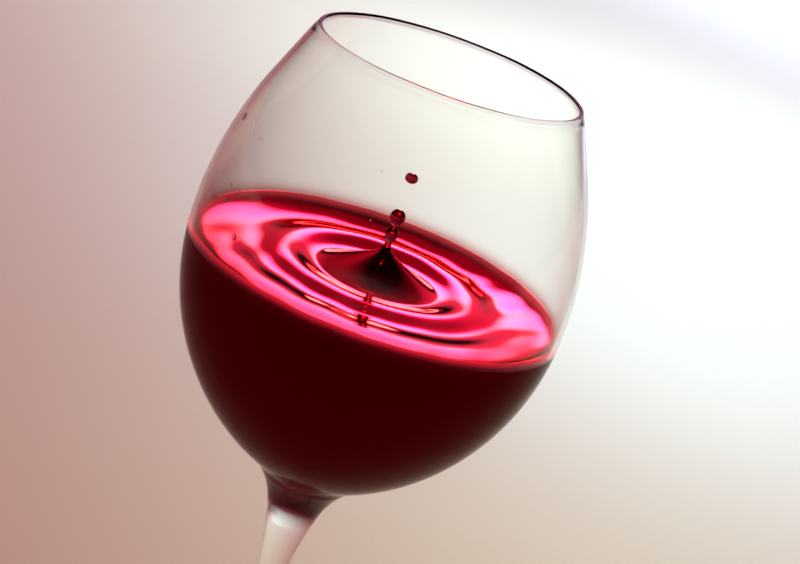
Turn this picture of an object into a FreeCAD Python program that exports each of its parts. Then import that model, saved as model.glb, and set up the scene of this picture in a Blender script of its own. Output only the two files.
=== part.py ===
"""A stemmed red wine glass standing on its foot, with wine in it that a falling drop has just struck.

The glass is one turned piece: a foot with a shallow hollow under it, a drawn stem that flares into
the bowl, and a thin bowl that is widest below its middle. The wine fills the bowl's cavity up to a
level surface, on which rings run out from a mound and a beaded jet. Millimetres, +Z up, the origin
in the middle of the circle that the foot stands on.
"""

import FreeCAD, Part
import math
import os

import Sketcher
from FreeCAD import Vector

SIZES = {
    # the glass as a whole
    "height": 222.0,
    # the foot
    "foot_radius": 40.0,
    "foot_edge": 1.5,
    "foot_slope": 4.5,  # degrees by which the foot's top rises inwards
    "foot_flare": 28.0,  # radius of the curve from the foot to the stem
    "foot_round": 0.6,
    "rest_width": 6.0,  # width of the flat ring that the glass stands on
    "hollow_depth": 1.0,
    # the stem
    "stem_radius": 3.45,
    "stem_flare": 95.0,  # radius of the long curve at the top of the stem
    "waist_radius": 6.95,  # the stem's radius where the quick flare takes over
    "waist_flare": 22.0,  # radius of the quick flare under the bowl
    # the bowl
    "belly_radius": 48.0,
    "bowl_curve": 63.0,  # radius of the outline below the belly
    "shoulder_height": 54.2,  # from the belly up to the rim
    "shoulder_fullness": 1.55,  # 1 is a straight shoulder, 2 one arc from belly to rim
    "rim_radius": 33.4,
    "rim_wall": 1.1,
    "rim_round": 0.4,
    "belly_wall": 1.25,
    "bottom_curve": 30.0,  # radius of the cavity's rounded bottom
    # the wine
    "fill_depth": 57.4,  # from the rim down to the still surface
    "splash_offset": 6.0,  # from the glass's axis to the splash's, along +Y
    "trough_radius": 16.0,
    "ring_height": 0.8,
    "ring_spacing": 17.0,
    "ring_reach": 24.0,  # how far past the trough the rings fall to a third
    "mound_height": 7.7,  # above the trough, if the mound ran on to a point
    "mound_power": 1.25,  # 1 is a straight cone, more is hollower
    "jet_foot_radius": 2.4,
    "lower_neck_radius": 0.9,
    "lower_bead_radius": 1.73,
    "upper_neck_radius": 1.0,
    "upper_neck_curve": 1.9,
    "upper_bead_radius": 1.93,
}
SHEET = "sizes"
START, END, CENTRE = 1, 2, 3  # a sketch's names for the points of a line or an arc
ORIGIN, V_AXIS = -1, -2  # a sketch's own origin and vertical axis


def make_sheet(doc):
    """The spreadsheet of driving dimensions: one row each, its name beside it."""
    sheet = doc.addObject("Spreadsheet::Sheet", SHEET)
    for row, (name, value) in enumerate(SIZES.items(), start=1):
        sheet.set(f"A{row}", name)
        sheet.set(f"B{row}", str(value))
        sheet.setAlias(f"B{row}", name)
    doc.recompute()
    return sheet


# ---- outlines drawn as chains of lines and arcs ----


def on_circle(centre, radius, towards):
    """The point of a circle that lies in the direction of another point."""
    return centre + (towards - centre).normalize() * radius


def arc(centre, radius, first, last):
    """A sketch's arc, which always runs anticlockwise from first to last."""
    angles = [math.atan2(p.y - centre.y, p.x - centre.x) for p in (first, last)]
    if angles[1] <= angles[0]:
        angles[1] += 2 * math.pi
    circle = Part.Circle(centre, Vector(0, 0, 1), radius)
    return Part.ArcOfCircle(circle, *angles)


class Outline:
    """A half section on the XZ plane of a body: x is the radius and y the height."""

    def __init__(self, body, name):
        planes = [f for f in body.Origin.OriginFeatures if f.Role == "XZ_Plane"]
        self.sketch = body.newObject("Sketcher::SketchObject", name)
        self.sketch.AttachmentSupport = [(planes[0], "")]
        self.sketch.MapMode = "FlatFace"

    def add(self, shape):
        return self.sketch.addGeometry(shape, False)

    def line(self, first, last):
        return self.add(Part.LineSegment(first, last))

    def tie(self, kind, *places):
        return self.sketch.addConstraint(Sketcher.Constraint(kind, *places))

    def size(self, name, expression, kind, *places):
        """A dimension that follows the spreadsheet, starting from what the sketch measures."""
        index = self.tie(kind, *places)
        self.sketch.renameConstraint(index, name)
        self.sketch.setExpression(f"Constraints.{name}", expression)

    def on_axis(self, shape, point):
        self.tie("PointOnObject", shape, point, V_AXIS)

    def check(self):
        self.sketch.Document.recompute()
        if self.sketch.solve() != 0 or not self.sketch.FullyConstrained:
            raise RuntimeError(f"{self.sketch.Name} isn't a solved, fully constrained sketch")
        return self.sketch


# ---- the bowl's shoulder, which the outside and the cavity share ----

LEAN = (
    f"{SHEET}.shoulder_fullness * atan(({{belly}} - ({{rim}})) / {SHEET}.shoulder_height)"
)


def shoulder(belly_radius, rim_radius, belly_z, height, fullness):
    """The arc above the belly and the straight run to the rim: its centre, radius and end.

    The run leans by fullness times the lean of the chord from belly to rim, and the arc
    stands upright at the belly and meets the run smoothly."""
    inward = belly_radius - rim_radius
    lean = fullness * math.atan(inward / height)
    radius = (height * math.sin(lean) - inward * math.cos(lean)) / (1 - math.cos(lean))
    centre = Vector(belly_radius - radius, belly_z)
    end = centre + Vector(math.cos(lean), math.sin(lean)) * radius
    return centre, radius, end


def outside_outline(body, v):
    """The outside of the glass, from the hollow under the foot round to the rim."""
    rest_radius = v.foot_radius - v.rest_width
    belly_z = v.height - v.shoulder_height
    rim = Vector(v.rim_radius, v.height)
    belly = Vector(v.belly_radius, belly_z)
    dish_radius = (rest_radius**2 + v.hollow_depth**2) / (2 * v.hollow_depth)
    apex = Vector(0, v.hollow_depth)
    dish_centre = apex - Vector(0, dish_radius)
    slope = math.radians(v.foot_slope)
    foot_top = Vector(v.foot_radius, v.foot_edge)
    flare_x = v.stem_radius + v.foot_flare
    flare_rise = (v.foot_flare - (flare_x - v.foot_radius) * math.sin(slope)) / math.cos(slope)
    foot_centre = Vector(flare_x, v.foot_edge + flare_rise)
    foot_end = foot_centre - Vector(math.sin(slope), math.cos(slope)) * v.foot_flare
    stem_low = foot_centre - Vector(v.foot_flare, 0)

    # the bowl's arc, the waist's and the stem's touch one another in turn
    bowl_centre = Vector(v.belly_radius - v.bowl_curve, belly_z)
    turn = math.acos(1 - (v.waist_radius - v.stem_radius) / v.stem_flare)
    between = Vector(-math.cos(turn), math.sin(turn)) * (v.stem_flare - v.waist_flare)
    waist_x = v.stem_radius + v.stem_flare + between.x
    reach = v.bowl_curve + v.waist_flare
    drop = math.sqrt(reach**2 - (waist_x - bowl_centre.x) ** 2)
    waist_centre = Vector(waist_x, belly_z - drop)
    stem_centre = waist_centre - between
    stem_high = stem_centre - Vector(v.stem_flare, 0)
    waist_low = on_circle(stem_centre, v.stem_flare, waist_centre)
    waist_high = on_circle(bowl_centre, v.bowl_curve, waist_centre)
    shoulder_centre, shoulder_radius, shoulder_end = shoulder(
        v.belly_radius, v.rim_radius, belly_z, v.shoulder_height, v.shoulder_fullness
    )

    o = Outline(body, "outside_outline")
    dish = o.add(arc(dish_centre, dish_radius, Vector(rest_radius, 0), apex))
    rest = o.line(Vector(rest_radius, 0), Vector(v.foot_radius, 0))
    edge = o.line(Vector(v.foot_radius, 0), foot_top)
    top = o.line(foot_top, foot_end)
    foot = o.add(arc(foot_centre, v.foot_flare, stem_low, foot_end))
    stem = o.line(stem_low, stem_high)
    flare = o.add(arc(stem_centre, v.stem_flare, waist_low, stem_high))
    waist = o.add(arc(waist_centre, v.waist_flare, waist_high, waist_low))
    bowl = o.add(arc(bowl_centre, v.bowl_curve, waist_high, belly))
    upper = o.add(arc(shoulder_centre, shoulder_radius, belly, shoulder_end))
    run = o.line(shoulder_end, rim)
    lid = o.line(rim, Vector(0, v.height))
    axis = o.line(Vector(0, v.height), apex)

    for first, last in [
        ((axis, END), (dish, END)),
        ((dish, START), (rest, START)),
        ((rest, END), (edge, START)),
        ((edge, END), (top, START)),
        ((run, END), (lid, START)),
        ((lid, END), (axis, START)),
    ]:
        o.tie("Coincident", *first, *last)
    for first, last in [
        ((top, END), (foot, END)),
        ((foot, START), (stem, START)),
        ((stem, END), (flare, END)),
        ((flare, START), (waist, END)),
        ((waist, START), (bowl, START)),
        ((bowl, END), (upper, START)),
        ((upper, END), (run, START)),
    ]:
        o.tie("Tangent", *first, *last)
    for straight in (rest, lid):
        o.tie("Horizontal", straight)
    for straight in (edge, stem, axis):
        o.tie("Vertical", straight)
    o.tie("Horizontal", bowl, CENTRE, bowl, END)
    o.tie("Horizontal", ORIGIN, START, rest, START)
    o.on_axis(dish, CENTRE)
    o.on_axis(axis, START)

    s = SHEET
    corner = (ORIGIN, START)
    o.size("height", f"{s}.height", "DistanceY", *corner, axis, START, v.height)
    o.size("hollow", f"{s}.hollow_depth", "DistanceY", *corner, dish, END, v.hollow_depth)
    o.size("foot_radius", f"{s}.foot_radius", "DistanceX", *corner, rest, END, v.foot_radius)
    o.size("rest_width", f"{s}.rest_width", "DistanceX", rest, START, rest, END, v.rest_width)
    o.size("foot_edge", f"{s}.foot_edge", "DistanceY", edge, START, edge, END, v.foot_edge)
    o.size("foot_slope", f"180 - {s}.foot_slope", "Angle", top, math.pi - slope)
    o.size("foot_flare", f"{s}.foot_flare", "Radius", foot, v.foot_flare)
    o.size("stem_radius", f"{s}.stem_radius", "DistanceX", *corner, stem, START, v.stem_radius)
    o.size("stem_flare", f"{s}.stem_flare", "Radius", flare, v.stem_flare)
    o.size("waist_radius", f"{s}.waist_radius", "DistanceX", *corner, waist, END, v.waist_radius)
    o.size("waist_flare", f"{s}.waist_flare", "Radius", waist, v.waist_flare)
    o.size("belly_radius", f"{s}.belly_radius", "DistanceX", *corner, bowl, END, v.belly_radius)
    o.size("bowl_curve", f"{s}.bowl_curve", "Radius", bowl, v.bowl_curve)
    o.size("rim_radius", f"{s}.rim_radius", "DistanceX", *corner, run, END, v.rim_radius)
    o.size(
        "shoulder_height",
        f"{s}.shoulder_height",
        "DistanceY",
        *(bowl, END, run, END),
        v.shoulder_height,
    )
    lean = LEAN.format(belly=f"{s}.belly_radius", rim=f"{s}.rim_radius")
    run_angle = math.atan2(rim.y - shoulder_end.y, rim.x - shoulder_end.x)
    o.size("rim_lean", f"90 deg + {lean}", "Angle", run, run_angle)
    return o.check()


def cavity_outline(body, v):
    """The inside of the bowl, from the rim down to the middle of its rounded bottom."""
    belly_z = v.height - v.shoulder_height
    belly_radius = v.belly_radius - v.belly_wall
    rim = Vector(v.rim_radius - v.rim_wall, v.height)
    side_radius = v.bowl_curve - v.belly_wall
    side_centre = Vector(belly_radius - side_radius, belly_z)
    drop = math.sqrt((side_radius - v.bottom_curve) ** 2 - side_centre.x**2)
    bottom_centre = Vector(0, belly_z - drop)
    bottom = bottom_centre - Vector(0, v.bottom_curve)
    side_low = on_circle(side_centre, side_radius, bottom_centre)
    shoulder_centre, shoulder_radius, shoulder_end = shoulder(
        belly_radius, rim.x, belly_z, v.shoulder_height, v.shoulder_fullness
    )
    belly = Vector(belly_radius, belly_z)

    o = Outline(body, "cavity_outline")
    lid = o.line(Vector(0, v.height), rim)
    run = o.line(rim, shoulder_end)
    upper = o.add(arc(shoulder_centre, shoulder_radius, belly, shoulder_end))
    side = o.add(arc(side_centre, side_radius, side_low, belly))
    floor = o.add(arc(bottom_centre, v.bottom_curve, bottom, side_low))
    axis = o.line(bottom, Vector(0, v.height))

    for first, last in [
        ((axis, END), (lid, START)),
        ((lid, END), (run, START)),
        ((floor, START), (axis, START)),
    ]:
        o.tie("Coincident", *first, *last)
    for first, last in [
        ((run, END), (upper, END)),
        ((upper, START), (side, END)),
        ((side, START), (floor, END)),
    ]:
        o.tie("Tangent", *first, *last)
    o.tie("Horizontal", lid)
    o.tie("Vertical", axis)
    o.tie("Horizontal", side, CENTRE, side, END)
    o.on_axis(floor, CENTRE)
    o.on_axis(axis, START)

    s = SHEET
    corner = (ORIGIN, START)
    wall = f"{s}.belly_radius - {s}.belly_wall"
    rim_inside = f"{s}.rim_radius - {s}.rim_wall"
    o.size("height", f"{s}.height", "DistanceY", *corner, axis, END, v.height)
    o.size("rim_inside", rim_inside, "DistanceX", *corner, lid, END, rim.x)
    o.size("belly_inside", wall, "DistanceX", *corner, side, END, belly_radius)
    o.size("side_curve", f"{s}.bowl_curve - {s}.belly_wall", "Radius", side, side_radius)
    o.size("bottom_curve", f"{s}.bottom_curve", "Radius", floor, v.bottom_curve)
    o.size(
        "shoulder_height",
        f"{s}.shoulder_height",
        "DistanceY",
        *(side, END, run, START),
        v.shoulder_height,
    )
    lean = LEAN.format(belly=f"({wall})", rim=rim_inside)
    run_angle = math.atan2(shoulder_end.y - rim.y, shoulder_end.x - rim.x)
    o.size("rim_lean", f"{lean} - 90 deg", "Angle", run, run_angle)
    return o.check()


# ---- turned bodies ----


def turn(body, kind, sketch):
    """Revolves an outline once round the glass's axis, adding or cutting."""
    feature = body.newObject(f"PartDesign::{kind}", f"{sketch.Name}_{kind.lower()}")
    feature.Profile = sketch
    feature.ReferenceAxis = (sketch, ["V_Axis"])
    feature.Angle = 360.0
    sketch.Document.recompute()
    return feature


def ring_edges(shape, rings):
    """The names of the circular edges with these radii and heights."""
    names = []
    for radius, z in rings:
        for index, edge in enumerate(shape.Edges, start=1):
            if edge.Degenerated or not isinstance(edge.Curve, Part.Circle):
                continue
            if math.hypot(edge.Curve.Radius - radius, edge.Curve.Center.z - z) < 1e-4:
                names.append(f"Edge{index}")
    if len(names) != len(rings):
        raise RuntimeError(f"found {names} for the rings {rings}")
    return names


def soften(body, name, size, base, rings):
    """A fillet on circular edges, its radius bound to the spreadsheet."""
    fillet = body.newObject("PartDesign::Fillet", name)
    fillet.Base = (base, ring_edges(base.Shape, rings))
    fillet.setExpression("Radius", f"{SHEET}.{size}")
    body.Document.recompute()
    return fillet


def make_glass(doc, v):
    """The glass: turned outside, hollowed bowl, fire-polished rim and foot edge."""
    body = doc.addObject("PartDesign::Body", "Glass")
    body.Label = "glass"
    blank = turn(body, "Revolution", outside_outline(body, v))
    hollowed = turn(body, "Groove", cavity_outline(body, v))
    if hollowed.Shape.Volume >= blank.Shape.Volume:
        raise RuntimeError("the groove cut nothing out of the bowl")
    rim = [(v.rim_radius, v.height), (v.rim_radius - v.rim_wall, v.height)]
    polished = soften(body, "polished_rim", "rim_round", hollowed, rim)
    foot = [(v.foot_radius, 0.0), (v.foot_radius, v.foot_edge)]
    body.Tip = soften(body, "rounded_foot", "foot_round", polished, foot)
    doc.recompute()
    return body


# ---- the wine ----


def ring_surface(v, distance):
    """Height of the rings over the still level: a cosine that dies away past the trough."""
    out = distance - v.trough_radius
    fade = math.exp(-((out / v.ring_reach) ** 2))
    return -v.ring_height * fade * math.cos(2 * math.pi * out / v.ring_spacing)


def mound_surface(v, distance):
    """Height of the mound over the still level, level where it meets the trough."""
    share = 1 - distance / v.trough_radius
    return v.mound_height * share**v.mound_power - v.ring_height


def mound_slope(v, distance):
    share = 1 - distance / v.trough_radius
    return -v.mound_height * v.mound_power * share ** (v.mound_power - 1) / v.trough_radius


def curve_through(surface, distances, tangents):
    """One smooth edge over a height function, with the given slopes at its two ends."""
    points = [Vector(d, 0, surface(d)) for d in distances]
    spline = Part.BSplineCurve()
    first, last = (Vector(1, 0, slope) for slope in tangents)
    way = 1 if distances[-1] > distances[0] else -1
    spline.interpolate(Points=points, InitialTangent=first * way, FinalTangent=last * way)
    return spline.toShape()


def neck(low, middle, high):
    """A hollow arc through three points of the jet's outline."""
    return Part.Arc(low, middle, high).toShape()


def jet_edges(v):
    """The jet's outline from the mound up to its tip: neck, bead, neck, bead.

    Each neck is a hollow arc that leaves one curve and meets the next bead smoothly."""
    foot = Vector(v.jet_foot_radius, 0, mound_surface(v, v.jet_foot_radius))
    steep = math.atan(-1 / mound_slope(v, v.jet_foot_radius))
    curve = (v.jet_foot_radius - v.lower_neck_radius) / (1 - math.cos(steep))
    centre = Vector(v.lower_neck_radius + curve, 0, foot.z + curve * math.sin(steep))
    waist = centre - Vector(curve, 0, 0)

    def above(neck_radius, neck_curve, bead_radius):
        """Height from a neck to the centre of a bead that it touches."""
        return math.sqrt((neck_curve + bead_radius) ** 2 - (neck_curve + neck_radius) ** 2)

    lower = Vector(0, 0, centre.z + above(v.lower_neck_radius, curve, v.lower_bead_radius))
    onto_lower = on_circle(lower, v.lower_bead_radius, centre)

    high = (v.upper_neck_radius, v.upper_neck_curve)
    upper_z = lower.z + above(*high, v.lower_bead_radius)
    upper_centre = Vector(v.upper_neck_radius + v.upper_neck_curve, 0, upper_z)
    upper_waist = upper_centre - Vector(v.upper_neck_curve, 0, 0)
    off_lower = on_circle(lower, v.lower_bead_radius, upper_centre)
    upper = Vector(0, 0, upper_z + above(*high, v.upper_bead_radius))
    onto_upper = on_circle(upper, v.upper_bead_radius, upper_centre)

    lower_side = lower + Vector(v.lower_bead_radius, 0, 0)
    tip = upper + Vector(0, 0, v.upper_bead_radius)
    upper_side = upper + Vector(v.upper_bead_radius, 0, 0)
    return [
        neck(foot, waist, onto_lower),
        Part.Arc(onto_lower, lower_side, off_lower).toShape(),
        neck(off_lower, upper_waist, onto_upper),
        Part.Arc(onto_upper, upper_side, tip).toShape(),
    ]


def make_wave(doc, v):
    """A column as wide as the bowl whose top is the struck surface, turned on the splash's axis.

    The rings and the mound follow formulas: points are reckoned along each, a smooth curve is
    drawn through them, and the whole outline is turned once about the jet."""
    level = v.height - v.fill_depth
    width = v.belly_radius + v.splash_offset + v.ring_spacing / 2
    steps = round((width - v.trough_radius) / (v.ring_spacing / 8))
    rings = [width - (width - v.trough_radius) * n / steps for n in range(steps + 1)]
    mound_steps = 6
    way_in = (v.trough_radius - v.jet_foot_radius) / mound_steps
    mound = [v.trough_radius - way_in * n for n in range(mound_steps + 1)]

    step = 1e-4
    rim_slope = (ring_surface(v, width + step) - ring_surface(v, width - step)) / (2 * step)
    foot_slope = mound_slope(v, v.jet_foot_radius)
    top = [
        curve_through(lambda d: ring_surface(v, d), rings, (rim_slope, 0)),
        curve_through(lambda d: mound_surface(v, d), mound, (0, foot_slope)),
        *jet_edges(v),
    ]
    base = -level
    ends = [
        Vector(0, 0, top[-1].Vertexes[-1].Z),
        Vector(0, 0, base),
        Vector(width, 0, base),
        Vector(width, 0, ring_surface(v, width)),
    ]
    sides = [Part.makeLine(a, b) for a, b in zip(ends, ends[1:])]
    face = Part.Face(Part.Wire(Part.__sortEdges__(top + sides)))
    wave = doc.addObject("Part::Feature", "Wave")
    wave.Shape = face.revolve(Vector(0, 0, 0), Vector(0, 0, 1), 360)
    wave.Placement.Base = Vector(0, v.splash_offset, level)
    return wave


def make_wine(doc, v):
    """The wine: what the bowl's cavity and the struck surface's column have in common."""
    space = doc.addObject("PartDesign::Body", "BowlSpace")
    space.Tip = turn(space, "Revolution", cavity_outline(space, v))
    wine = doc.addObject("Part::Common", "Wine")
    wine.Label = "wine"
    wine.Base = space
    wine.Tool = make_wave(doc, v)
    doc.recompute()
    return wine


# ---- build, check and write ----


class Values:
    """The spreadsheet's cells by name."""

    def __init__(self, sheet):
        for name in SIZES:
            setattr(self, name, float(sheet.get(name)))


def main():
    doc = FreeCAD.newDocument("wine_glass")
    values = Values(make_sheet(doc))
    pieces = [make_glass(doc, values), make_wine(doc, values)]
    doc.recompute()
    for item in doc.Objects:
        if {"Invalid", "Error"} & set(item.State):
            raise RuntimeError(f"{item.Name} failed: {item.State}")
    os.makedirs("parts", exist_ok=True)
    for piece in pieces:
        shape = piece.Shape
        if shape.isNull() or not shape.isValid() or len(shape.Solids) != 1:
            raise RuntimeError(f"{piece.Label} isn't one valid solid")
        shape.exportStep(f"parts/{piece.Label}.step")
        box = shape.BoundBox
        size = " x ".join(f"{side:.1f}" for side in (box.XLength, box.YLength, box.ZLength))
        print(f"{piece.Label}: {shape.Volume / 1000:.1f} cm3, {size} mm, top at {box.ZMax:.2f}")


main()
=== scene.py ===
"""A stemmed glass of red wine, caught as a falling drop throws up a beaded jet."""

import math

import bpy
import numpy as np
from mathutils import Euler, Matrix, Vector


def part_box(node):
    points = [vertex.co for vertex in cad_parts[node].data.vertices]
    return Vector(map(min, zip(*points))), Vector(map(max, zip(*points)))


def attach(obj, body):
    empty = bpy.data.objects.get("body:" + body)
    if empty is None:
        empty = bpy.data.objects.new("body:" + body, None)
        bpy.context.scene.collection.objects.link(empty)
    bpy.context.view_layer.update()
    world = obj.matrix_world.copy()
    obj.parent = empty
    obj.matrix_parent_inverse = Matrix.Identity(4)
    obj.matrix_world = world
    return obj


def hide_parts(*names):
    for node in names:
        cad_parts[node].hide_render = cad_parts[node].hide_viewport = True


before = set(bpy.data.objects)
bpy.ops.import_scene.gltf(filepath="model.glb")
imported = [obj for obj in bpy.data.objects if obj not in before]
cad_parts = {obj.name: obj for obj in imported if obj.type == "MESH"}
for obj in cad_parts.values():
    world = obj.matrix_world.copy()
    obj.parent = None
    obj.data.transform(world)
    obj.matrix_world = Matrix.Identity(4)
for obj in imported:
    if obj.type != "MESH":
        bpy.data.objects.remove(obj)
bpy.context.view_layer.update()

# ---- the glass -------------------------------------------------------------------------
# One piece of clear soda-lime glass: a bowl blown to a wall of about a millimetre, a stem
# pulled down from its bottom while hot, and a pressed foot with a shallow hollow under it.
# The rim is cut and melted round in a flame, so it is smooth and very slightly uneven.

mm = 0.001
glass_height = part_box("glass")[1].z / mm
belly_radius = 48.0
belly_height = glass_height - 54.2
rim_radius = 33.4
belly_wall, rim_wall = 1.25, 1.1
bowl_curve = 63.0  # radius of the outline under the belly
bottom_curve = 30.0  # radius of the cavity's rounded bottom
shoulder_fullness = 1.55
foot_radius, foot_edge, foot_slope, foot_flare = 40.0, 1.5, math.radians(4.5), 28.0
stem_radius, stem_flare = 3.45, 95.0
waist_radius, waist_flare = 6.95, 22.0


def arc(centre, radius, start, end, count):
    """Points on a circle from one angle to another, without the last.

    A point is centre + radius (cos angle, sin angle)."""
    angle = np.linspace(start, end, count, endpoint=False)
    return np.column_stack([centre[0] + radius * np.cos(angle), centre[1] + radius * np.sin(angle)])


def straight(start, end, count):
    """Evenly spaced points of a straight run, without its last."""
    share = np.linspace(0, 1, count, endpoint=False)[:, None]
    return np.asarray(start) * (1 - share) + np.asarray(end) * share


def shoulder(belly, rim, count_arc, count_run):
    """The outline from the belly up to the rim: an arc upright at the belly, then a straight run.

    The run leans by a fixed share more than the chord from belly to rim does, and the arc's
    radius is the one that meets it smoothly."""
    inward, rise = belly - rim, glass_height - belly_height
    lean = shoulder_fullness * math.atan(inward / rise)
    radius = (rise * math.sin(lean) - inward * math.cos(lean)) / (1 - math.cos(lean))
    centre = (belly - radius, belly_height)
    end = (centre[0] + radius * math.cos(lean), belly_height + radius * math.sin(lean))
    return np.vstack([arc(centre, radius, 0, lean, count_arc),
                      straight(end, (rim, glass_height), count_run)]), lean


def outside_outline():
    """Half section of the outside, from the middle of the foot's underside up to the rim."""
    rest, hollow, soft = foot_radius - 6.0, 1.0, 0.6
    dish = (rest**2 + hollow**2) / (2 * hollow)
    dish_turn = math.asin(rest / dish)
    under = arc((0, hollow - dish), dish, math.pi / 2, math.pi / 2 - dish_turn, 24)
    flat = straight((rest, 0), (foot_radius - soft, 0), 8)
    edge = arc((foot_radius - soft, soft), soft, -math.pi / 2, 0, 8)
    top_soft = (foot_radius - soft, foot_edge - soft + soft * math.tan(foot_slope))
    lip = arc(top_soft, soft, 0, math.pi / 2 - foot_slope, 8)
    lift = np.array([math.sin(foot_slope), math.cos(foot_slope)])  # square to the foot's top
    top_start = top_soft + soft * lift
    flare_x = stem_radius + foot_flare
    flare_z = foot_edge + (foot_flare - (flare_x - foot_radius) * lift[0]) / lift[1]
    top_end = (flare_x, flare_z) - foot_flare * lift
    top = straight(top_start, top_end, 8)
    flare = arc((flare_x, flare_z), foot_flare, 1.5 * math.pi - foot_slope, math.pi, 40)
    # the long curve up the stem, the quick one under the bowl and the bowl touch in turn
    bowl_centre = np.array([belly_radius - bowl_curve, belly_height])
    turn = math.acos(1 - (waist_radius - stem_radius) / stem_flare)
    between = (stem_flare - waist_flare) * np.array([-math.cos(turn), math.sin(turn)])
    waist_x = stem_radius + stem_flare + between[0]
    drop = math.sqrt((bowl_curve + waist_flare) ** 2 - (waist_x - bowl_centre[0]) ** 2)
    waist_centre = np.array([waist_x, belly_height - drop])
    stem_centre = waist_centre - between
    stem = straight((stem_radius, flare_z), (stem_radius, stem_centre[1]), 12)
    long_curve = arc(stem_centre, stem_flare, math.pi, math.pi - turn, 26)
    meet = math.atan2(*(bowl_centre - waist_centre)[::-1])
    quick_curve = arc(waist_centre, waist_flare, math.pi - turn, meet, 30)
    bowl = arc(bowl_centre, bowl_curve, meet - math.pi, 0, 64)
    return np.vstack([under, flat, edge, lip, top, flare, stem, long_curve, quick_curve, bowl])


def cavity_outline(grow=0.0):
    """Half section of the bowl's inside, from the belly down to the middle of the bottom.

    grow moves it outwards, into the wall."""
    side = bowl_curve - belly_wall
    side_centre = np.array([belly_radius - bowl_curve, belly_height])
    drop = math.sqrt((side - bottom_curve) ** 2 - side_centre[0] ** 2)
    bottom_centre = np.array([0, belly_height - drop])
    meet = math.atan2(*(bottom_centre - side_centre)[::-1])
    return np.vstack([arc(side_centre, side + grow, 0, meet, 44),
                      arc(bottom_centre, bottom_curve + grow, meet, -math.pi / 2, 26),
                      [(0, bottom_centre[1] - bottom_curve - grow)]])


def skin(name, rings, poles):
    """A mesh of closed skins, each of rings of points joined in turn, with a point at each end.

    rings is rows x columns x 3, in millimetres, and goes anticlockwise from above as the
    outline runs up the outside. An axis before these holds as many skins as the mesh has."""
    rows, columns = rings.shape[-3:-1]
    skins = rings.reshape(-1, rows * columns, 3)
    points = np.concatenate([skins, np.reshape(poles, (-1, 2, 3))], 1).reshape(-1, 3) * mm
    row, column = np.meshgrid(np.arange(rows - 1), np.arange(columns), indexing="ij")
    after = (column + 1) % columns
    quads = np.stack([row * columns + column, row * columns + after,
                      (row + 1) * columns + after, (row + 1) * columns + column], -1).reshape(-1, 4)
    around = np.arange(columns)
    ahead = (around + 1) % columns
    first, last = rows * columns, rows * columns + 1
    start = np.column_stack([np.full(columns, first), ahead, around])
    end = np.column_stack([np.full(columns, last), (rows - 1) * columns + around,
                           (rows - 1) * columns + ahead])
    first_point = np.arange(len(skins))[:, None, None] * (rows * columns + 2)
    faces = []
    for part in (start, quads, end):
        faces += (part + first_point).reshape(-1, part.shape[1]).tolist()
    mesh = bpy.data.meshes.new(name)
    mesh.from_pydata(points.tolist(), [], faces)
    mesh.polygons.foreach_set("use_smooth", np.ones(len(mesh.polygons), bool))
    mesh.update()
    piece = bpy.data.objects.new(name, mesh)
    bpy.context.scene.collection.objects.link(piece)
    return piece


around_glass = np.linspace(0, 2 * math.pi, 200, endpoint=False)
outer_shoulder, outer_lean = shoulder(belly_radius, rim_radius, 40, 16)
inner_shoulder, inner_lean = shoulder(belly_radius - belly_wall, rim_radius - rim_wall, 40, 16)
rim_round = np.array([rim_radius - rim_wall / 2, glass_height - rim_wall / 2])
lip_radius = 0.49 * rim_wall  # a hair under half, so that the wall runs into it
lip = arc(rim_round, lip_radius, outer_lean, math.pi + inner_lean, 14)
outline = np.vstack([outside_outline()[1:], outer_shoulder[:-1], lip, inner_shoulder[:0:-1],
                     cavity_outline()[:-1]])
# the flame leaves the rim a tenth of a millimetre uneven, sideways and up and down
sideways, upwards, out_of_step = 0.10, 0.12, 31
unevenness = np.clip((outline[:, 1:] - belly_height) / (glass_height - belly_height), 0, 1) ** 2
lobes = (0.5 * np.sin(2 * around_glass + 0.6) + 0.3 * np.sin(5 * around_glass + 2.1)
         + 0.2 * np.sin(11 * around_glass))
radius = outline[:, :1] + sideways * unevenness * lobes
height = outline[:, 1:] + upwards * unevenness**3 * np.roll(lobes, out_of_step)
rings = np.stack([radius * np.cos(around_glass), radius * np.sin(around_glass),
                  np.broadcast_to(height, radius.shape)], -1)
glass = skin("glass_body", rings, [(0, 0, 1.0), (0, 0, cavity_outline()[-1][1])])
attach(glass, "root")
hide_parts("glass")
glass.visible_shadow = False  # clear glass lets the lamps' light through to what is under it
# What colours the clear glass: a painted mauve shade on the inner wall above the wine, strongest
# at the left and fading upwards; the thin red edge of the wine that clings above its level; and
# a painted near-black on the knob under the bowl, which stands in for the dark of the wine above
# it.
fill_depth = 57.4  # from the rim down to the still wine
level = glass_height - fill_depth
over = outline[:, 1:] - level
inside_rows = len(inner_shoulder) + len(cavity_outline()) - 2
on_inside = (np.arange(len(outline)) >= len(outline) - inside_rows)[:, None]
leftward = np.clip(-np.cos(around_glass) * 0.72 + 0.28 - 0.25 * np.sin(around_glass), 0, 1) ** 2.2
painted_shade_reach, edge_height, edge_reach = 22.0, 2.4, 2.3
# painted shade: mauve on the left of the inner wall, fading upwards from the wine
left_painted_shade = on_inside * np.where(over > 0, np.exp(-over / painted_shade_reach), 0) * leftward
edge_film = on_inside * np.exp(-((over - edge_height) / edge_reach) ** 2) * np.ones_like(leftward)
cavity_bottom = cavity_outline()[-1][1]
knob_low = 96.5
low = outline[:, 1:]
# painted near-black on the knob, standing in for the dark wine above it
knob_painted_dark = (np.clip((low - knob_low) / 5, 0, 1) * np.clip((cavity_bottom + 3 - low) / 2, 0, 1)
        * np.ones_like(leftward))
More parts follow.
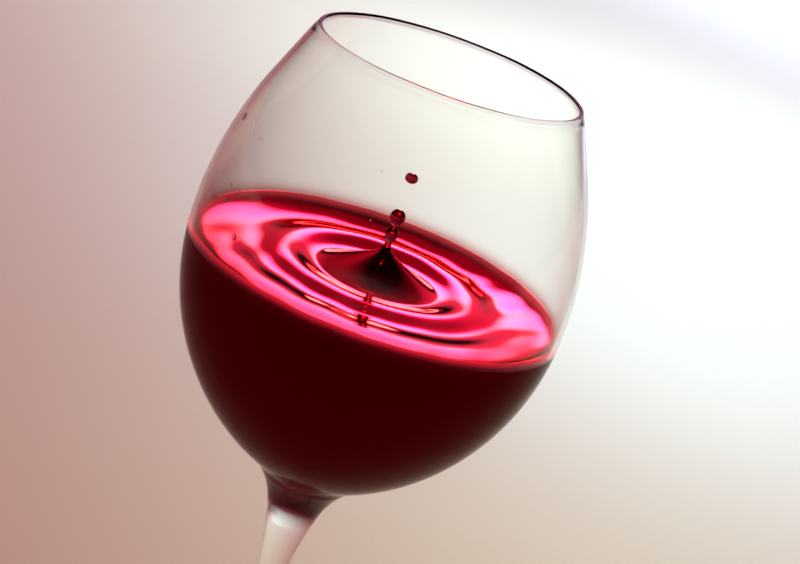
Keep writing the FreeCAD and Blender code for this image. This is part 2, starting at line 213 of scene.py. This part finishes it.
# the painted shade, the wine's clinging edge and the knob's painted dark, multiplied together
film_and_shade_rings = np.ones((len(outline), len(around_glass), 4))
films_and_painted_shades = [  # how strong at each point, and the colour it gives
    (left_painted_shade, (0.20, 0.07, 0.075)),
    (edge_film, (0.52, 0.025, 0.032)),
    (knob_painted_dark, (0.06, 0.002, 0.004)),
]
for amount, colour in films_and_painted_shades:
    film_and_shade_rings[..., :3] *= 1 - amount[..., None] * (1 - np.array(colour))
film_and_painted_shade = glass.data.attributes.new("film_and_painted_shade", "FLOAT_COLOR", "POINT")
film_and_painted_shade.data.foreach_set("color", np.append(film_and_shade_rings.ravel(), np.ones(8)))


def material(name):
    """A new material: its nodes, its links and its Principled shader."""
    made = bpy.data.materials.new(name)
    made.use_nodes = True
    nodes, links = made.node_tree.nodes, made.node_tree.links
    return made, nodes, links, nodes["Principled BSDF"]


def effect(name, inputs, outputs):
    """A shader node group with named inputs and outputs, each given as name: kind of socket."""
    group = bpy.data.node_groups.new(name, "ShaderNodeTree")
    for direction, sockets in (("INPUT", inputs), ("OUTPUT", outputs)):
        for socket, kind in sockets.items():
            group.interface.new_socket(socket, in_out=direction, socket_type="NodeSocket" + kind)
    nodes, links = group.nodes, group.links
    given, out = nodes.new("NodeGroupInput").outputs, nodes.new("NodeGroupOutput").inputs
    return group, nodes, links, given, out


def placed(group, nodes, **values):
    """The group as a node of a material, with the material's own values in its inputs."""
    node = nodes.new("ShaderNodeGroup")
    node.node_tree = group
    for socket, value in values.items():
        node.inputs[socket].default_value = (*value, 1) if isinstance(value, tuple) else value
    return node


drawn, nodes, links, given, out = effect(
    "drawn_glass", {"Strength": "Float", "Distance": "Float", "Thick": "Color", "Thin": "Color"},
    {"Color": "Color", "Normal": "Vector"})
place = nodes.new("ShaderNodeTexCoord")
stretch = nodes.new("ShaderNodeMapping")
stretch.inputs["Scale"].default_value = (40, 40, 14)
waves = nodes.new("ShaderNodeTexNoise")
waves.inputs["Scale"].default_value = 1.0
waves.inputs["Detail"].default_value = 1.0
bump = nodes.new("ShaderNodeBump")
tint = nodes.new("ShaderNodeMix")
tint.data_type = "RGBA"
# reads the glass's painted shade, the wine's clinging edge and the knob's painted dark
film_and_shade_attribute = nodes.new("ShaderNodeAttribute")
film_and_shade_attribute.attribute_name = "film_and_painted_shade"
coloured = nodes.new("ShaderNodeMix")
coloured.data_type, coloured.blend_type = "RGBA", "MULTIPLY"
coloured.inputs["Factor"].default_value = 1.0
links.new(place.outputs["Object"], stretch.inputs["Vector"])
links.new(stretch.outputs["Vector"], waves.inputs["Vector"])
links.new(given["Strength"], bump.inputs["Strength"])
links.new(given["Distance"], bump.inputs["Distance"])
links.new(waves.outputs["Fac"], bump.inputs["Height"])
links.new(bump.outputs["Normal"], out["Normal"])
links.new(waves.outputs["Fac"], tint.inputs["Factor"])
links.new(given["Thick"], tint.inputs["A"])
links.new(given["Thin"], tint.inputs["B"])
links.new(tint.outputs["Result"], coloured.inputs["A"])
links.new(film_and_shade_attribute.outputs["Color"], coloured.inputs["B"])
links.new(coloured.outputs["Result"], out["Color"])

# Only the bare bowl bends light as real glass does. Beside the wine it bends it less, and its
# shine there is a painted red reflection, which sinks it in the red and paints the haze over the
# wine's body dark red; the wetted inside doesn't show, because wine and glass meet there; and
# the stem and foot bend it a little less, which keeps them pale.
glasses = [  # name, how much it bends light, the colour of its shine
    ("clear_glass", 1.5, (0.28, 0.22, 0.22)),
    # painted reflection: the shine tinted red
    ("glass_before_wine", 1.1, (1.0, 0.03, 0.03)),
    ("wetted_glass", 1.0, (0.28, 0.22, 0.22)),
    ("foot_glass", 1.33, (0.28, 0.22, 0.22)),
]
for name, index, shine in glasses:
    made, nodes, links, shader = material(name)
    shader.inputs["Roughness"].default_value = 0.0
    shader.inputs["IOR"].default_value = index
    shader.inputs["Transmission Weight"].default_value = 1.0
    shader.inputs["Specular Tint"].default_value = (*shine, 1)
    look = placed(drawn, nodes, Strength=0.06, Distance=0.0006,
                  Thick=(0.975, 0.95, 0.925), Thin=(1.0, 0.985, 0.965))
    links.new(look.outputs["Color"], shader.inputs["Base Color"])
    links.new(look.outputs["Normal"], shader.inputs["Normal"])
    glass.data.materials.append(made)
row_height = (outline[:-1, 1] + outline[1:, 1]) / 2
inside = np.arange(len(row_height)) >= len(outline) - len(cavity_outline()) - len(inner_shoulder)
wine_beside = (row_height < level) & (row_height > cavity_bottom - 1.0)
bare, backed, wetted, footed = range(len(glasses))
stem_top, underside_rows = 97.0, 31
kinds = np.where(wine_beside, np.where(inside, wetted, backed),
                 np.where(row_height < stem_top, footed, bare))
kinds[:underside_rows] = wetted  # it lies so close to the table that it mirrors nothing
kinds = np.concatenate([[wetted], kinds, [wetted]])  # the fans that close the two ends
face_kinds = np.repeat(kinds, len(around_glass)).astype(np.int32)
glass.data.polygons.foreach_set("material_index", face_kinds)

# ---- the wine --------------------------------------------------------------------------
# A fifth of a litre of young red wine, filling the bowl from its bottom to just below the
# belly. A drop has struck it: rings run out to the wall, the crater has closed into a
# mound, and a jet stands on the mound and is pinching into two beads. The wine wets the
# glass and climbs it by a millimetre or two all round.

splash_y = 6.0  # the splash stands this far behind the glass's axis
into_wall = 0.15
trough_radius = 16.0
ring_height, ring_spacing, ring_reach = 0.8, 17.0, 24.0
mound_height, mound_power = 7.7, 1.25
jet_foot = 2.4
around_wine = np.linspace(0, 2 * math.pi, 288, endpoint=False)


def rings_above(distance):
    """Height of the rings over the still level: a cosine that dies away past the trough."""
    out = distance - trough_radius
    fade = np.exp(-((out / ring_reach) ** 2))
    return -ring_height * fade * np.cos(2 * math.pi * out / ring_spacing)


def mound_above(distance):
    """Height of the mound: a share of the way in from the trough, raised to a power."""
    return mound_height * (1 - distance / trough_radius) ** mound_power - ring_height


def cavity_radius(z):
    """The bowl's inside radius at a height between its bottom and its rim."""
    lower = cavity_outline(into_wall)[::-1]
    upper, _ = shoulder(belly_radius - belly_wall + into_wall,
                        rim_radius - rim_wall + into_wall, 40, 16)
    both = np.vstack([lower, upper[1:]])
    return np.interp(z, both[:, 1], both[:, 0])


def jet_outline():
    """Half section of the jet, tip first: bead, neck, bead, neck, each arc touching the next."""
    low_bead, high_bead = 1.73, 1.93
    low_neck, high_neck, high_curve = 0.9, 1.0, 1.9
    way_in = 1 - jet_foot / trough_radius
    slope = -mound_height * mound_power * way_in ** (mound_power - 1) / trough_radius
    steep = math.atan(-1 / slope)
    curve = (jet_foot - low_neck) / (1 - math.cos(steep))
    neck_z = mound_above(jet_foot) + curve * math.sin(steep)
    low_z = neck_z + math.sqrt((curve + low_bead) ** 2 - (curve + low_neck) ** 2)
    high_neck_z = low_z + math.sqrt((high_curve + low_bead) ** 2 - (high_curve + high_neck) ** 2)
    high_z = high_neck_z + math.sqrt((high_curve + high_bead) ** 2 - (high_curve + high_neck) ** 2)
    onto_high = math.atan2(high_neck_z - high_z, high_neck + high_curve)
    off_low = math.atan2(high_neck_z - low_z, high_neck + high_curve)
    onto_low = math.atan2(neck_z - low_z, low_neck + curve)
    return np.vstack([
        arc((0, high_z), high_bead, math.pi / 2, onto_high, 26),
        arc((high_neck + high_curve, high_neck_z), high_curve,
            math.pi + onto_high, math.pi + off_low, 12),
        arc((0, low_z), low_bead, off_low, onto_low, 18),
        arc((low_neck + curve, neck_z), curve, math.pi + onto_low, math.pi + steep, 22),
    ])


jet = jet_outline()
slope_in = np.linspace(jet_foot, trough_radius, 40)
splash = np.vstack([jet, np.column_stack([slope_in, mound_above(slope_in)])])
splash_rings = np.stack([
    splash[:, :1] * np.cos(around_wine),
    splash[:, :1] * np.sin(around_wine) + splash_y,
    np.broadcast_to(splash[:, 1:] + level, (len(splash), len(around_wine))),
], -1)

# from the trough out to the wall, which is nearer at the back than at the front
wall = cavity_radius(level)
to_wall = -splash_y * np.sin(around_wine) + np.sqrt(wall**2 - (splash_y * np.cos(around_wine)) ** 2)
share = 1 - (1 - np.linspace(0, 1, 100)[1:]) ** 1.35
distance = trough_radius + share[:, None] * (to_wall - trough_radius)
to_edge = to_wall - distance
x = distance * np.cos(around_wine)
y = distance * np.sin(around_wine) + splash_y
climb_height, climb_reach = 2.4, 2.2
climb = climb_height * np.exp(-to_edge / climb_reach)
fade_in = np.clip((distance - trough_radius) / 12, 0, 1) ** 2
echo = 0.05 * np.sin(2 * math.pi * np.hypot(x - 62, y + 30) / 11) + 0.035 * np.sin(
    2 * math.pi * np.hypot(x + 70, y - 20) / 13 + 1.0)
surface = level + rings_above(distance) + fade_in * echo + climb
surface_rings = np.stack([x, y, surface], -1)

edge_angle = np.arctan2(y[-1], x[-1])
down = np.linspace(0, 1, 60)[1:-1, None] ** 1.2
bottom = cavity_outline(into_wall)[-1][1]
depth = surface[-1] + down * (bottom - surface[-1])
depth_radius = cavity_radius(depth)
body_rings = np.stack([depth_radius * np.cos(edge_angle), depth_radius * np.sin(edge_angle),
                       depth], -1)
top_edge_radius = cavity_radius(surface[-1])
surface_rings[-1, :, 0] = top_edge_radius * np.cos(edge_angle)
surface_rings[-1, :, 1] = top_edge_radius * np.sin(edge_angle)
thin_rings = np.vstack([np.zeros(splash_rings[1:].shape[:2]), np.exp(-to_edge / 1.5),
                        np.exp(-(surface[-1] - depth) / 1.6)])[::-1]
wine_rings = np.vstack([splash_rings[1:], surface_rings, body_rings])[::-1]
wine = skin("wine_body", wine_rings, [(0, 0, bottom), (0, splash_y, splash_rings[0, 0, 2])])
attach(wine, "root")
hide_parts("wine")
thinness = wine.data.attributes.new("thinness", "FLOAT", "POINT")
thinness.data.foreach_set("value", np.append(thin_rings.ravel(), (0, 0)))


def soaks(material_nodes, material_links, taken):
    """Gives a material the depth of wine: what a metre of it takes of red, green and blue."""
    taken = np.array(taken)
    soak = material_nodes.new("ShaderNodeVolumeAbsorption")
    soak.inputs["Color"].default_value = (*(1 - taken / taken.max() * 0.999), 1)
    soak.inputs["Density"].default_value = taken.max() / 0.999
    material_links.new(soak.outputs["Volume"], material_nodes["Material Output"].inputs["Volume"])


def eased(nodes, links, value, low, high):
    """A node that rises smoothly from 0 to 1 as a value goes from low to high."""
    step = nodes.new("ShaderNodeMapRange")
    step.interpolation_type = "SMOOTHSTEP"
    for source, socket in ((value, "Value"), (low, "From Min"), (high, "From Max")):
        links.new(source, step.inputs[socket])
    return step.outputs["Result"]


def blended(nodes, links, share, one, other):
    """A node that goes from one colour to the other with a share of 0 to 1."""
    mix = nodes.new("ShaderNodeMix")
    mix.data_type = "RGBA"
    for source, socket in ((share, "Factor"), (one, "A"), (other, "B")):
        links.new(source, mix.inputs[socket])
    return mix.outputs["Result"]


# painted light: a glow that stands in for light through the wine, dim red in the deep and bright at
# its thin edge, over its thinness from the deep by way of the middle
painted_wine_glow, nodes, links, given, out = effect(
    "painted_wine_glow",
    {"Start": "Float", "Middle": "Float", "End": "Float",
     "Deep": "Color", "Between": "Color", "Edge": "Color"},
    {"Color": "Color"})
thin = nodes.new("ShaderNodeAttribute")
thin.attribute_name = "thinness"
first = eased(nodes, links, thin.outputs["Fac"], given["Start"], given["Middle"])
second = eased(nodes, links, thin.outputs["Fac"], given["Middle"], given["End"])
inner = blended(nodes, links, first, given["Deep"], given["Between"])
links.new(blended(nodes, links, second, inner, given["Edge"]), out["Color"])

# a faint cloudiness of colour
cloudy, nodes, links, given, out = effect(
    "cloudy", {"Scale": "Float", "Low": "Color", "High": "Color"}, {"Color": "Color"})
place = nodes.new("ShaderNodeTexCoord")
clouds = nodes.new("ShaderNodeTexNoise")
clouds.inputs["Detail"].default_value = 3.0
spread = nodes.new("ShaderNodeMapRange")
spread.inputs["From Min"].default_value, spread.inputs["From Max"].default_value = 0.3, 0.7
links.new(place.outputs["Object"], clouds.inputs["Vector"])
links.new(given["Scale"], clouds.inputs["Scale"])
links.new(clouds.outputs["Fac"], spread.inputs["Value"])
shade = blended(nodes, links, spread.outputs["Result"], given["Low"], given["High"])
links.new(shade, out["Color"])


def clouded(nodes, links, shader, scale, low, high):
    """Gives a shader's colour the cloudiness, at a scale and between two colours."""
    look = placed(cloudy, nodes, Scale=scale, Low=low, High=high)
    links.new(look.outputs["Color"], shader.inputs["Base Color"])


def paints_glow(nodes, links, shader, middle, end, deep, between, edge):
    """Gives a shader the painted glow that stands in for light through the wine, brightest at its
    thin edge.
    """
    look = placed(painted_wine_glow, nodes, Start=0.0, Middle=middle, End=end,
                  Deep=deep, Between=between, Edge=edge)
    shader.inputs["Emission Strength"].default_value = 1.0
    links.new(look.outputs["Color"], shader.inputs["Emission Color"])


wine_takes = (320.0, 900.0, 700.0)
thin_takes = (380.0, 1500.0, 1100.0)
deep, nodes, links, shader = material("deep_wine")
shader.inputs["Roughness"].default_value = 0.0
shader.inputs["IOR"].default_value = 1.0
shader.inputs["Transmission Weight"].default_value = 1.0
clouded(nodes, links, shader, 30.0, (0.94, 0.84, 0.88), (1.0, 0.95, 0.97))
# painted glow of the deep body, bright at its thin edge
paints_glow(nodes, links, shader, 0.25, 0.75,
      (0.030, 0.0, 0.0), (0.045, 0.0, 0.001), (0.42, 0.006, 0.022))
soaks(nodes, links, wine_takes)
wine.data.materials.append(deep)

# The surface is a crimson metal mirror: its red shine is a painted reflection that stands in for
# light coming up through the wine.
gleam, nodes, links, shader = material("wine_surface")
shader.inputs["Metallic"].default_value = 1.0
shader.inputs["Roughness"].default_value = 0.02
clouded(nodes, links, shader, 55.0, (0.56, 0.009, 0.050), (0.64, 0.011, 0.062))
shader.inputs["Specular Tint"].default_value = (1.0, 0.51, 0.51, 1)
# painted glow on the surface as well, bright at its thin edge
paints_glow(nodes, links, shader, 0.10, 0.9,
      (0.004, 0.0, 0.0), (0.03, 0.0, 0.001), (0.42, 0.03, 0.04))
soaks(nodes, links, wine_takes)
wine.data.materials.append(gleam)

bright, nodes, links, shader = material("thin_wine")
shader.inputs["Roughness"].default_value = 0.0
shader.inputs["IOR"].default_value = 1.34
shader.inputs["Transmission Weight"].default_value = 1.0
clouded(nodes, links, shader, 400.0, (0.95, 0.82, 0.88), (1.0, 0.92, 0.95))
soaks(nodes, links, thin_takes)
wine.data.materials.append(bright)

columns = len(around_wine)
neck_rows = 8
kinds = np.full(len(wine.data.polygons), 2, np.int32)
at_edge = columns * (1 + len(body_rings))
at_neck = at_edge + columns * (len(surface_rings) + len(slope_in) + neck_rows)
kinds[:at_edge] = 0
kinds[at_edge:at_neck] = 1
wine.data.polygons.foreach_set("material_index", kinds)

# ---- the drops in the air --------------------------------------------------------------
# The drop that the jet has thrown off, flattened by its own wobble, and two specks of
# spray beside it.

flight = [  # x, y, height over the level, radius, how flat
    (0.0, 0.0, 25.8, 1.65, 0.80),
    (-7.4, 0.6, 24.8, 0.22, 1.0),
    (-6.0, -0.4, 12.4, 0.25, 1.0),
]
polar = np.linspace(0, math.pi, 26)[1:-1, None]
turn = np.linspace(0, 2 * math.pi, 40, endpoint=False)
for number, (off_x, off_y, over, size, flat) in enumerate(flight):
    ball = np.stack([
        off_x + size * np.sin(polar) * np.cos(turn),
        splash_y + off_y + size * np.sin(polar) * np.sin(turn),
        level + over - size * flat * np.cos(polar) * np.ones_like(turn),
    ], -1)
    drop = skin(f"flying_drop_{number + 1}", ball, [
        (off_x, splash_y + off_y, level + over - size * flat),
        (off_x, splash_y + off_y, level + over + size * flat)])
    drop.data.materials.append(bright)
    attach(drop, "root")

# ---- the drops on the wall ------------------------------------------------------------
# Small drops left clinging to the inside of the bowl at the left, where the wine has been
# swirled above its level. Each is a flat cap sunk a little way into the wall.

scatter = np.random.default_rng(11)
count = 15
drop_size = scatter.uniform(0.28, 0.75, count) ** 1.5 + 0.12
drop_angle = np.radians(scatter.uniform(168, 226, count))
drop_height = level + scatter.uniform(5, 34, count)
polar = np.linspace(0, math.pi, 9)[1:-1, None, None]
turn = np.linspace(0, 2 * math.pi, 12, endpoint=False)[None, :, None]
cap_depth, cap_length, sunk = 0.42, 1.25, 0.10
cap_out = cap_depth * drop_size * np.cos(polar) * np.ones_like(turn)
cap_side = drop_size * np.sin(polar) * np.cos(turn)
cap_up = cap_length * drop_size * np.sin(polar) * np.sin(turn) * (1 - 0.25 * np.sin(turn))
wall_radius = cavity_radius(drop_height + cap_up) - into_wall - sunk * drop_size
caps = np.stack([
    (wall_radius - cap_out) * np.cos(drop_angle) - cap_side * np.sin(drop_angle),
    (wall_radius - cap_out) * np.sin(drop_angle) + cap_side * np.cos(drop_angle),
    drop_height + cap_up,
], -1)
pole_radius = cavity_radius(drop_height) - into_wall - sunk * drop_size
pole_out = np.stack([pole_radius - cap_depth * drop_size, pole_radius + cap_depth * drop_size])
poles = np.stack([pole_out * np.cos(drop_angle), pole_out * np.sin(drop_angle),
                  np.broadcast_to(drop_height, pole_out.shape)], -1)
clinging = skin("clinging_drops", np.moveaxis(caps[::-1, ::-1], 2, 0),
                np.moveaxis(poles[::-1], 1, 0))
clinging.data.materials.append(bright)
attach(clinging, "root")

# ---- floor, light and camera -----------------------------------------------------------
# A plain pale floor under seven soft lamps, which light it and are seen in nothing. The
# surround is a pale room where it is looked at. Where glass or wine mirrors it, it is dark
# with soft rosy lights behind, and on the floor it adds a little red.

floor_mesh = bpy.data.meshes.new("floor")
reach = 6.0
under = -0.00005  # just clear of the foot
corners = [(-reach, -reach), (reach, -reach), (reach, reach), (-reach, reach)]
floor_mesh.from_pydata([(x, y, under) for x, y in corners], [], [(0, 1, 2, 3)])
floor = bpy.data.objects.new("floor", floor_mesh)
bpy.context.scene.collection.objects.link(floor)
pale, nodes, links, shader = material("pale_floor")
shader.inputs["Roughness"].default_value = 0.85
clouded(nodes, links, shader, 900.0, (0.812, 0.7785, 0.745), (0.828, 0.7965, 0.765))
floor_mesh.materials.append(pale)


def softbox(name, where, target, width, height, power, colour):
    """A soft rectangular light that looks from one place to another."""
    lamp = bpy.data.lights.new(name, "AREA")
    lamp.shape = "RECTANGLE"
    lamp.size, lamp.size_y = width, height
    lamp.energy, lamp.color = power, colour
    holder = bpy.data.objects.new(name, lamp)
    holder.location = where
    holder.rotation_euler = (Vector(target) - Vector(where)).to_track_quat("-Z", "Y").to_euler()
    holder.visible_camera = False
    bpy.context.scene.collection.objects.link(holder)


def hide_from(light, *kinds):
    """Keeps a light out of the rays of these kinds, so that it lights only the floor."""
    for kind in kinds:
        setattr(bpy.data.objects[light], "visible_" + kind, False)


lamps = [  # name, place, side, power, colour
    ("near_wash", (0.15, 0.20, 0.25), 0.25, 0.30, (0.65, 1.00, 0.62)),
    ("centre_wash", (0.15, 0.55, 0.25), 0.25, 0.63, (0.57, 0.93, 1.00)),
    ("back_wash", (0.15, 1.00, 0.40), 0.35, 2.80, (0.65, 1.00, 0.93)),
    ("far_wash", (0.45, 2.00, 0.70), 0.50, 13.3, (0.53, 0.83, 1.00)),
    ("front_wash", (0.00, -1.90, 0.80), 0.80, 10.0, (0.62, 0.95, 0.92)),
    ("left_wash", (-2.60, -0.40, 0.80), 0.80, 12.0, (0.62, 0.90, 0.88)),
    ("right_wash", (2.20, -0.60, 0.80), 0.80, 11.0, (0.62, 0.95, 0.95)),
]
for name, where, side, power, colour in lamps:
    softbox(name, where, (where[0], where[1], 0), side, side, power, colour)
    hide_from(name, "glossy", "transmission")

world = bpy.data.worlds.new("surround")
bpy.context.scene.world = world
world.use_nodes = True
nodes, links = world.node_tree.nodes, world.node_tree.links
place = nodes.new("ShaderNodeTexCoord")
split = nodes.new("ShaderNodeSeparateXYZ")
links.new(place.outputs["Generated"], split.inputs["Vector"])


def rise(value, low, high, top):
    """A smooth step of a value from 0 at low to top at high."""
    step = nodes.new("ShaderNodeMapRange")
    step.interpolation_type = "SMOOTHSTEP"
    step.inputs["From Min"].default_value, step.inputs["From Max"].default_value = low, high
    step.inputs["To Max"].default_value = top
    links.new(value, step.inputs["Value"])
    return step.outputs["Result"]


def towards(azimuth, height):
    """How nearly the direction is that of a place in the surround, in degrees from +Y and up."""
    a, e = math.radians(azimuth), math.radians(height)
    near = nodes.new("ShaderNodeVectorMath")
    near.operation = "DOT_PRODUCT"
    near.inputs[1].default_value = (
        math.sin(a) * math.cos(e), math.cos(a) * math.cos(e), math.sin(e))
    links.new(place.outputs["Generated"], near.inputs[0])
    return near.outputs["Value"]


def both(operation, one, other):
    """Two values put together by a sum, a product or a power."""
    node = nodes.new("ShaderNodeMath")
    node.operation = operation
    links.new(one, node.inputs[0])
    links.new(other, node.inputs[1])
    return node.outputs["Value"]


def power_of(number):
    """A plain number as a node's output."""
    value = nodes.new("ShaderNodeValue")
    value.outputs[0].default_value = number
    return value.outputs[0]


def glow(amount, colour):
    """A Background of one colour, as strong as an amount."""
    light = nodes.new("ShaderNodeBackground")
    light.inputs["Color"].default_value = (*colour, 1)
    links.new(amount, light.inputs["Strength"])
    return light.outputs["Background"]


def added(one, other):
    """Two lights together."""
    node = nodes.new("ShaderNodeAddShader")
    links.new(one, node.inputs[0])
    links.new(other, node.inputs[1])
    return node.outputs["Shader"]


over_horizon = rise(split.outputs["Z"], math.sin(math.radians(5)), math.sin(math.radians(13)), 1.0)
dim = rise(towards(-8, 34), math.cos(math.radians(34)), math.cos(math.radians(12)), 0.45)
dim = both("MULTIPLY", dim, over_horizon)
main = both("POWER", rise(towards(2, 21), math.cos(math.radians(23)), 1.0, 1.0), power_of(1.5))
main = both("MULTIPLY", both("MULTIPLY", main, over_horizon), power_of(1.3))
core = both("POWER", rise(towards(-2, 25), math.cos(math.radians(11)), 1.0, 1.0), power_of(1.1))
core = both("MULTIPLY", both("MULTIPLY", core, over_horizon), power_of(26.0))
path = nodes.new("ShaderNodeLightPath")
within = both("ADD", rise(path.outputs["Transmission Depth"], 0.5, 1.5, 0.93), power_of(0.07))
core = both("MULTIPLY", core, within)
side = rise(towards(-48, 26), math.cos(math.radians(26)), math.cos(math.radians(4)), 0.4)
shine = added(added(glow(dim, (1.0, 0.2, 0.3)), glow(main, (1.0, 0.35, 0.75))),
              added(glow(side, (1.0, 0.6, 0.62)), glow(core, (0.95, 1.0, 0.85))))
white = rise(split.outputs["X"], -0.55, 0.45, 0.62)
room = added(glow(power_of(0.62), (0.42, 0.22, 0.21)), glow(white, (0.62, 0.76, 0.76)))
mirrored = nodes.new("ShaderNodeMixShader")
links.new(path.outputs["Glossy Depth"], mirrored.inputs["Fac"])
links.new(room, mirrored.inputs[1])
links.new(shine, mirrored.inputs[2])
ambient = nodes.new("ShaderNodeMixShader")
links.new(path.outputs["Diffuse Depth"], ambient.inputs["Fac"])
links.new(mirrored.outputs["Shader"], ambient.inputs[1])
links.new(glow(power_of(0.388), (1.0, 0.0, 0.0)), ambient.inputs[2])
links.new(ambient.outputs["Shader"], nodes["World Output"].inputs["Surface"])

camera = bpy.data.cameras.new("camera")
camera.lens, camera.sensor_width = 100, 36
viewer = bpy.data.objects.new("camera", camera)
bpy.context.scene.collection.objects.link(viewer)
bpy.context.scene.camera = viewer
elevation, roll, away = math.radians(18), math.radians(20), 0.545
aim = Vector((0.006, 0, 0.1665))
back = Vector((0, -math.cos(elevation), math.sin(elevation)))
viewer.location = aim + back * away
looking = (-back).to_track_quat("-Z", "Y") @ Euler((0, 0, roll)).to_quaternion()
viewer.rotation_euler = looking.to_euler()
bpy.context.scene.view_settings.view_transform = "Standard"
